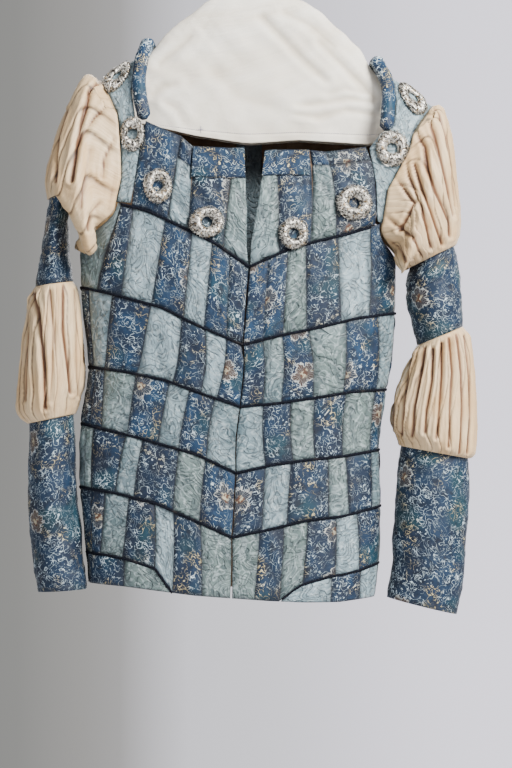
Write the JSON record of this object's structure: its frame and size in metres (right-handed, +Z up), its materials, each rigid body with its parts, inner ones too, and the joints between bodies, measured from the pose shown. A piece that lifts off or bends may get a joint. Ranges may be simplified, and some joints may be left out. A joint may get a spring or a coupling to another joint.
{
  "type": "doublet on a hanger",
  "caption": "Patchwork doublet with puffed and banded sleeves, padded neck roll, corded seams and wire ring ornaments, on a cloth-covered hanger with a wire hook.",
  "frame": {"origin": "the saddle of the hanger's hook, where it rests on a rail", "axes": "+Z up along the garment, -Y towards the viewer (the garment's front), +X to the viewer's right"},
  "size_m": [0.5362, 0.152, 0.8099],
  "materials": {
    "brocade": "woven, faint metallic sheen",
    "quilted_cloth": "matt, embossed",
    "silk": "soft sheen",
    "braid": "matt",
    "silver_thread": "metallic thread",
    "calico": "matt",
    "wood": "satin",
    "steel_wire": "bright"
  },
  "bodies": {
    "root": {"arm_band_left": "brocade", "arm_band_right": "brocade", "back": "quilted_cloth", "back_yoke": "brocade", "braid_a_back": "braid", "braid_a_left": "braid", "braid_a_right": "braid", "braid_b_back": "braid", "braid_b_left": "braid", "braid_b_right": "braid", "braid_c_back": "braid", "braid_c_left": "braid", "braid_c_right": "braid", "braid_d_back": "braid", "braid_d_left": "braid", "braid_d_right": "braid", "braid_e_back": "braid", "braid_e_left": "braid", "braid_e_right": "braid", "elbow_puff_left": "silk", "elbow_puff_right": "silk", "front_left": "quilted_cloth", "front_right": "quilted_cloth", "hanger_bar": "wood", "hanger_cover": "calico", "hanger_hook": "steel_wire", "lower_sleeve_left": "brocade", "lower_sleeve_right": "brocade", "neck_band_left": "brocade", "neck_band_right": "brocade", "neck_roll_back": "brocade", "neck_roll_left": "brocade", "neck_roll_right": "brocade", "ring_chest_left_inner": "silver_thread", "ring_chest_left_outer": "silver_thread", "ring_chest_right_inner": "silver_thread", "ring_chest_right_outer": "silver_thread", "ring_shoulder_left": "silver_thread", "ring_shoulder_right": "silver_thread", "ring_strap_left": "silver_thread", "ring_strap_right": "silver_thread", "strap_left": "quilted_cloth", "strap_right": "quilted_cloth", "upper_puff_left": "silk", "upper_puff_right": "silk", "yoke_left": "brocade", "yoke_right": "brocade"}
  },
  "joints": []
}
